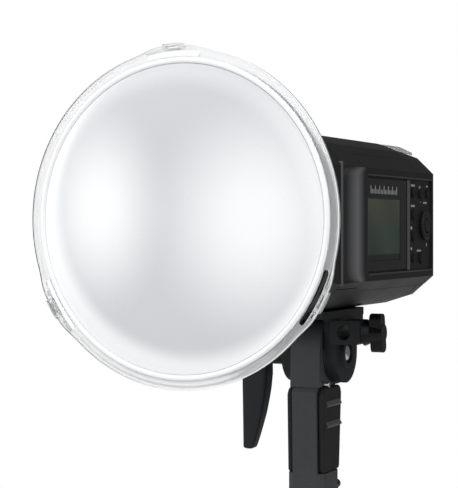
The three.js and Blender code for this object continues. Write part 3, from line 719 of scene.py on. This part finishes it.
softened = {
    "frontBezel": ("front_bezel", "head", "shell", 1.2),
    "housingUpper": ("housing_upper", "head", "shell", 1.6),
    "housingLower": ("housing_lower", "head", "shell", 1.2),
    "rearCover": ("rear_cover", "head", "shell", 0.7),
    "slaveWindow": ("slave_sensor_window", "head", "window", 0.5),
    "controlPanel": ("control_panel", "head", "shell", 0.5),
    "panelGlass": ("panel_glass", "head", "gloss", 0.2),
    "batteryPack": ("battery_pack", "battery", "shell", 0.7),
    "yokeCasting": ("yoke", "head", "casting", 1.2),
    "gripCore": ("handle_core", "grip", "handle", 1.2),
    "umbrellaKnob": ("umbrella_knob", "umbrella_clamp", "knob", 1.6),
    "tiltStopPin": ("tilt_stop_pin", "grip", "chrome", 0.4),
    "standBush": ("stand_socket_bush", "grip", "steel", 0.4),
    "standKnob": ("stand_lock_knob", "stand_lock", "satin", 0.7),
    "releaseButton": ("reflector_release", "release", "satin", 0.8),
    "setButton": ("set_button", "set_key", "satin", 0.4),
    "syncButton": ("sync_button", "sync_key", "keys", 0.5),
    "groupButton": ("group_button", "group_key", "keys", 0.5),
    "lampButton": ("lamp_button", "lamp_key", "keys", 0.5),
    "buzzerButton": ("buzzer_button", "buzzer_key", "keys", 0.5),
    "testButton": ("test_button", "test_key", "keys", 0.5),
    "modeButton": ("mode_button", "mode_key", "keys", 0.5),
    "powerButton": ("power_button", "power_key", "keys", 0.5),
}
for name, (node, body, finish, width) in softened.items():
    piece(name, softCopy(name, node, width * mm), body, finishes[finish], [node], smoothAngle=None)
print("softened pieces made:", len(softened))


gripSide = {"inner": 9.8, "outer": 14.2, "edge": 1.7, "ribs": (80.6, 65.6), "ribFrom": -11.8, "ribTo": 15.0,
            "ribEdge": 0.3, "bends": [2.5, 2.5, 4.0, 3.2, 3.2, 4.0],
            "corners": [[-16.4, 28.3], [15.0, 28.3], [19.4, 85.0], [16.4, 90.0], [-14.4, 90.0], [-18.4, 85.6]]}


def between(inner, outer, side):
    # The low and high end of a span that lies on the given side of the middle.
    return (inner * mm, outer * mm) if side > 0 else (-outer * mm, -inner * mm)


def makeGripSide(side):
    # A rounded pad that widens upwards.
    outline = rounded(gripSide["corners"], gripSide["bends"], 6) * mm
    low, high = between(gripSide["inner"], gripSide["outer"], side)
    return slab("pad", outline, "x", low, high, gripSide["edge"] * mm, 5)


def makeGripRibs(side):
    # Two wedges carried along the pad: their tops slope outwards, and their lighter finish is a painted
    # highlight for the light the tops catch.
    parts = []
    face = gripSide["outer"]
    for top in gripSide["ribs"]:
        wedge = rounded([[face - 1.2, top + 1.0], [face + 1.75, top - 3.4], [face + 1.75, top - 4.4],
                         [face - 1.2, top - 6.0]], [0.2, 0.3, 0.4, 0.2], 3)
        wedge[:, 0] *= side
        parts.append(slab("rib", wedge * mm, "y", gripSide["ribFrom"] * mm, gripSide["ribTo"] * mm,
                          gripSide["ribEdge"] * mm, 3))
    return joined("gripRibs", parts)


for name, node, side in [("gripSideRight", "grip_panel_right", 1), ("gripSideLeft", "grip_panel_left", -1)]:
    piece(name, makeGripSide(side), "grip", finishes["grip"], [node])
    # The ribs take the lighter finish, a painted highlight.
    piece(name.replace("Side", "Ribs"), makeGripRibs(side), "grip", finishes["ridge"])


bolt = {"domeRadius": 5.9, "domeFoot": 22.0, "domeRise": 2.0, "segments": 64}


def makeBolt():
    # A domed head that sits in the boss's recess, and the shank behind it, turned about the pivot.
    bend = np.radians(np.linspace(0, 90, 13))
    radius, along = bolt["domeRadius"] * np.cos(bend), bolt["domeFoot"] + bolt["domeRise"] * np.sin(bend)
    head = np.stack([radius, along], axis=-1)
    shank = [[0, -37.0], [3.6, -37.0], [4.0, -36.6], [4.0, 19.9], [6.4, 19.9], [6.4, 21.6]]
    profile = np.concatenate([shank, head[:-1], [[0, bolt["domeFoot"] + bolt["domeRise"]]]])
    return turned("bolt", profile * mm, bolt["segments"], (0, pivot.y, pivot.z), "x", close=False)


lever = {"outer": -59.5, "z": (124.0, 96.0, 86.0, 77.0, 67.0, 58.0, 48.0, 39.5),
         "inner": (-39.0, -39.0, -39.9, -41.3, -43.3, -45.8, -48.8, -51.8),
         "front": (1.5, 1.0, 1.4, 2.0, 2.5, 3.0, 3.5, 4.0),
         "rear": (15.5, 16.0, 15.6, 15.0, 14.5, 14.0, 13.5, 13.0),
         "tipRound": 1.8, "steps": 90, "around": 64, "squareness": 0.28,
         "hub": [[4.3, -21.9], [9.2, -21.9], [10.0, -22.7], [10.0, -42.0], [4.3, -42.0]], "hubSegments": 72}


def makeLever():
    # A four-sided bar with rounded corners: sections between the outer and inner sides that narrow
    # downwards, interpolated along the height, and drawn in by a quarter circle at both ends.
    height = np.linspace(lever["z"][0], lever["z"][-1], lever["steps"])
    known = np.array(lever["z"])[::-1]
    inner, front, rear = (np.interp(height, known, np.array(lever[key])[::-1])
                          for key in ("inner", "front", "rear"))
    away = np.minimum(height - lever["z"][-1], lever["z"][0] - height)
    draw = lever["tipRound"] * (1 - np.sqrt(1 - (1 - np.clip(away / lever["tipRound"], 0, 1)) ** 2))
    angle = circle(lever["around"])
    boxed = lambda value: np.sign(value) * np.abs(value) ** lever["squareness"]
    halfX, halfY = 0.5 * (inner - lever["outer"]) - draw, 0.5 * (rear - front) - draw
    x = 0.5 * (inner + lever["outer"])[:, None] + halfX[:, None] * boxed(np.cos(angle))
    y = 0.5 * (front + rear)[:, None] + halfY[:, None] * boxed(np.sin(angle))
    points = np.stack([x, y, height[:, None] + 0 * x], axis=-1)
    hub = turned("hub", np.array(lever["hub"]) * mm, lever["hubSegments"], (0, pivot.y, pivot.z), "x")
    return joined("lever", [skin("bar", poled(points) * mm), hub])


piece("pivotBolt", makeBolt(), "head", finishes["chrome"], ["pivot_bolt"], smoothAngle=40)
piece("tiltLever", makeLever(), "lever", finishes["casting"], ["tilt_lever"], smoothAngle=50)


pocket = {"front": -103.6, "rear": -56.4, "low": -42.0, "high": 36.0, "deep": 54.7, "proud": 62.36,
          "back": 54.0, "endRound": 9.0, "endRows": 12, "rise": 3.2}


def makePocket():
    # A hollow beside the neck: its floor rises towards the panel by a power of the way back, and towards
    # both ends by a quarter circle. The skin closes round a flat back.
    y = np.linspace(pocket["front"], pocket["rear"], 48)
    z = np.concatenate([np.linspace(0, 1, 24) ** 1.5 * pocket["endRound"] + pocket["low"],
                        np.linspace(pocket["low"] + 12, pocket["high"] - 12, pocket["endRows"]),
                        pocket["high"] - (np.linspace(1, 0, 24) ** 1.5 * pocket["endRound"])])
    back = ((y - pocket["front"]) / (pocket["rear"] - pocket["front"])) ** pocket["rise"]
    away = np.clip(np.minimum(z - pocket["low"], pocket["high"] - z) / pocket["endRound"], 0, 1)
    end = 1 - np.sqrt(1 - (1 - away) ** 2)
    rise = 1 - (1 - back)[None] * (1 - end)[:, None]
    x = pocket["deep"] + (pocket["proud"] - pocket["deep"]) * rise
    grid = lambda x, y: np.stack([x, y + 0 * x, z[:, None] + 0 * x], axis=-1)
    floor = grid(x, y[None])
    behind = grid(np.full_like(x, pocket["back"]), y[::-1][None])
    points = poled(np.concatenate([floor, behind], axis=1)) * mm
    points[..., 2] += lampZ
    return skin("pocket", points)


piece("panelPocket", makePocket(), "head", finishes["pocket"], smoothAngle=50)


ridge = {"y": -107.2, "low": -43.4, "high": 38.5, "wide": 2.6, "inner": 60.5, "outer": 63.6, "edge": 0.9}


def makeRidge(side):
    # An upright bar with round ends, half buried in the bezel's side.
    middle, half = ridge["y"], 0.5 * ridge["wide"]
    turn = np.linspace(0, np.pi, 11)
    top = np.stack([middle + half * np.cos(turn), ridge["high"] - half + half * np.sin(turn)], axis=-1)
    foot = np.stack([middle - half * np.cos(turn), ridge["low"] + half - half * np.sin(turn)], axis=-1)
    outline = np.concatenate([top, foot]) * mm + np.array([0, lampZ])
    low, high = between(ridge["inner"], ridge["outer"], side)
    return slab("ridge", outline, "x", low, high, ridge["edge"] * mm, 4)


# The ridges take the lighter finish, a painted highlight on the bezel's edge.
piece("bezelRidges", joined("ridges", [makeRidge(1), makeRidge(-1)]), "head", finishes["ridge"])


def box3(name, x, y, z, edge=0.2):
    # A box with rounded rims, its height measured from the lamp axis.
    corners = [[y[0], z[0]], [y[1], z[0]], [y[1], z[1]], [y[0], z[1]]]
    outline = rounded(corners, max(edge, 0.15)) * mm + np.array([0, lampZ])
    return slab(name, outline, "x", x[0] * mm, x[1] * mm, 0.5 * edge * mm, 2)


screen = {"y": (-55.5, 12.1), "z": (-27.9, 15.0), "face": 61.9}
piece("lcdScreen", joined("lcd", [
    box3("face", (61.3, screen["face"]), screen["y"], screen["z"], 0.3),
    box3("module", (56.5, 61.2), (-55.0, 11.5), (-27.0, 14.1), 0.5)]), "head", finishes["lcd"], ["lcd_screen"])


dial = {"y": 70.0, "z": -3.4, "ribs": 30, "ribDepth": 0.45, "segments": 360}


def makeDial():
    # A ring turned about X whose side wall ripples with the ribs' cosine and whose face is dished.
    profile = np.array([[5.8, 58.2], [9.0, 58.2], [9.1, 61.4], [10.9, 61.6], [11.0, 62.2], [10.9, 63.4],
                        [10.5, 64.2], [9.9, 64.55], [9.2, 64.6], [8.4, 64.2], [7.4, 64.0], [6.5, 64.2],
                        [6.0, 64.0], [5.8, 63.4]])
    grip = np.array([0, 0, 0, 1, 1, 1, 0.7, 0.2, 0, 0, 0, 0, 0, 0])[:, None]
    angle = circle(dial["segments"])[None]
    ripple = 0.5 + 0.5 * np.cos(angle * dial["ribs"])
    radius = profile[:, 0:1] - dial["ribDepth"] * grip * ripple**2
    points = np.stack([profile[:, 1:2] + 0 * angle, dial["y"] + radius * np.cos(angle),
                       dial["z"] + radius * np.sin(angle)], axis=-1) * mm
    points[..., 2] += lampZ
    return skin("dial", points, closeU=True)


piece("dialRing", makeDial(), "dial", finishes["satin"], ["dial_ring"], smoothAngle=50)


# Each mark: middle along the panel, height from the lamp axis, length, height.
marks = [(43.8, 26.2, 9.0, 1.5), (43.8, 11.0, 9.0, 1.5), (40.3, -5.4, 3.2, 2.2), (40.3, -20.6, 3.2, 2.0),
         (60.0, 24.9, 2.6, 2.6), (62.0, 14.2, 1.0, 1.0), (72.6, 13.7, 8.4, 1.3), (58.0, -22.4, 9.5, 1.4),
         (76.2, -18.2, 1.6, 2.6), (77.5, 26.2, 4.0, 1.2)]


def makeMarks():
    # Flat printed dashes on the key field.
    flats = []
    for middle, height, long, tall in marks:
        y, z = (middle - 0.5 * long, middle + 0.5 * long), (height - 0.5 * tall, height + 0.5 * tall)
        flats.append(box3("mark", (61.05, 61.16), y, z, 0.4))
    return joined("marks", flats)


ticks = {"count": 19, "first": -50.0, "pitch": 3.0, "half": 0.55, "foot": 18.4, "tall": 3.2, "taller": 2.6}


def makeTicks():
    # A row of upright ticks over the screen, every third one taller.
    flats = []
    for i in range(ticks["count"]):
        middle = ticks["first"] + ticks["pitch"] * i
        tall = ticks["tall"] + ticks["taller"] * (i % 3 == 0)
        flats.append(box3("tick", (62.15, 62.24), (middle - ticks["half"], middle + ticks["half"]),
                          (ticks["foot"], ticks["foot"] + tall), 0.3))
    return joined("ticks", flats)


latch = joined("latch", [box3("plate", (-62.2, -59.0), (-43.0, -27.0), (15.0, 29.0), 0.6),
                         box3("lip", (-63.4, -61.6), (-41.0, -38.0), (16.0, 28.0), 0.5)])
piece("batteryLatch", latch, "latch", finishes["satin"], ["battery_latch"])
rib = box3("rib", (60.9, 62.5), (27.6, 33.4), (-36.0, 29.6), 0.6)
# Two thin bars along the panel's top and bottom edges, painted lighter as highlights on the bevels.
edges = [box3("edge", (61.7, 62.7), (-55.5, 88.5), (z - 0.5, z + 0.5), 0.3) for z in (31.3, -37.3)]
# The panel's rib takes the lighter finish, a painted highlight.
piece("panelRib", rib, "head", finishes["ridge"])
piece("panelEdges", joined("edges", edges), "head", finishes["edge"])
piece("keyMarks", makeMarks(), "head", finishes["print"])
piece("scaleTicks", makeTicks(), "head", finishes["print"])
print("panel made")


setting = {"floorDrop": 1.2, "floorSize": 12.0,
           "floorLight": (0.86, 0.86, 0.86), "floorDark": (0.82, 0.82, 0.82),
           "dimming": {"From_Min": -0.3, "From_Max": 0.45, "To_Min": 0.9, "To_Max": 0.14}}


def makeStage():
    # A wide level floor, well below the grip's foot.
    across = np.linspace(-0.5, 0.5, 3) * setting["floorSize"]
    x, y = np.meshgrid(across, across, indexing="ij")
    points = np.stack([x, y, np.full_like(x, -setting["floorDrop"])], axis=-1)
    floor = bpy.data.objects.new("floor", meshFrom("floor", points, flip=True))
    bpy.context.scene.collection.objects.link(floor)
    floor.data.materials.append(grained("paleFloor", grain, setting["floorLight"], setting["floorDark"], 30,
                                        (0.7, 0.8), 0.0))


def areaLight(name, place, target, size, power, colour=(1, 1, 1)):
    data = bpy.data.lights.new(name, "AREA")
    data.shape = "RECTANGLE"
    data.size, data.size_y = size
    data.energy = power
    data.color = colour
    lamp = bpy.data.objects.new(name, data)
    lamp.location = place
    lamp.rotation_euler = (Vector(target) - Vector(place)).to_track_quat("-Z", "Y").to_euler()
    bpy.context.scene.collection.objects.link(lamp)


makeStage()
world = bpy.data.worlds.new("studio")
bpy.context.scene.world = world
world.use_nodes = True
sky = world.node_tree
behind = sky.nodes["Background"]
behind.inputs["Strength"].default_value = 1.0
behind.inputs["Color"].default_value = (1, 1, 1, 1)
around = sky.nodes.new("ShaderNodeBackground")
around.inputs["Color"].default_value = (0.98, 0.99, 1, 1)
heading = sky.nodes.new("ShaderNodeTexCoord")
axes = sky.nodes.new("ShaderNodeSeparateXYZ")
link(sky, heading.outputs["Generated"], axes.inputs[0])
link(sky, spread(sky, axes.outputs["Y"], **setting["dimming"]), around.inputs["Strength"])
seen = sky.nodes.new("ShaderNodeLightPath")
either = sky.nodes.new("ShaderNodeMixShader")
through = maths(sky, "MAXIMUM", seen.outputs["Is Camera Ray"], seen.outputs["Is Transmission Ray"])
link(sky, through.outputs[0], either.inputs["Fac"])
link(sky, around.outputs[0], either.inputs[1])
link(sky, behind.outputs[0], either.inputs[2])
link(sky, either.outputs[0], sky.nodes["World Output"].inputs["Surface"])
bpy.context.scene.view_settings.view_transform = "Standard"
areaLight("leftBox", (-1.5, -1.2, 0.9), (0, -0.1, 0.2), (1.0, 1.4), 14)
areaLight("rightBox", (1.7, -1.3, 0.8), (0, 0, 0.2), (0.9, 1.4), 9)
areaLight("topBox", (0.2, -0.2, 1.9), (0, 0, 0.2), (1.2, 1.2), 9)

# The focal length and the shift are shares of the sensor's height.
view = {"place": (0.4271, -1.057, 0.2056), "turn": 25.15, "focal": 3.17623, "shiftY": -0.032787, "sensor": 24}
cameraData = bpy.data.cameras.new("camera")
cameraData.sensor_fit = "VERTICAL"
cameraData.sensor_height = view["sensor"]
cameraData.lens = view["sensor"] * view["focal"]
cameraData.shift_y = view["shiftY"]
camera = bpy.data.objects.new("camera", cameraData)
camera.location = view["place"]
camera.rotation_euler = (np.pi / 2, 0, np.radians(view["turn"]))
bpy.context.scene.collection.objects.link(camera)
bpy.context.scene.camera = camera
print("stage, lights and camera set")
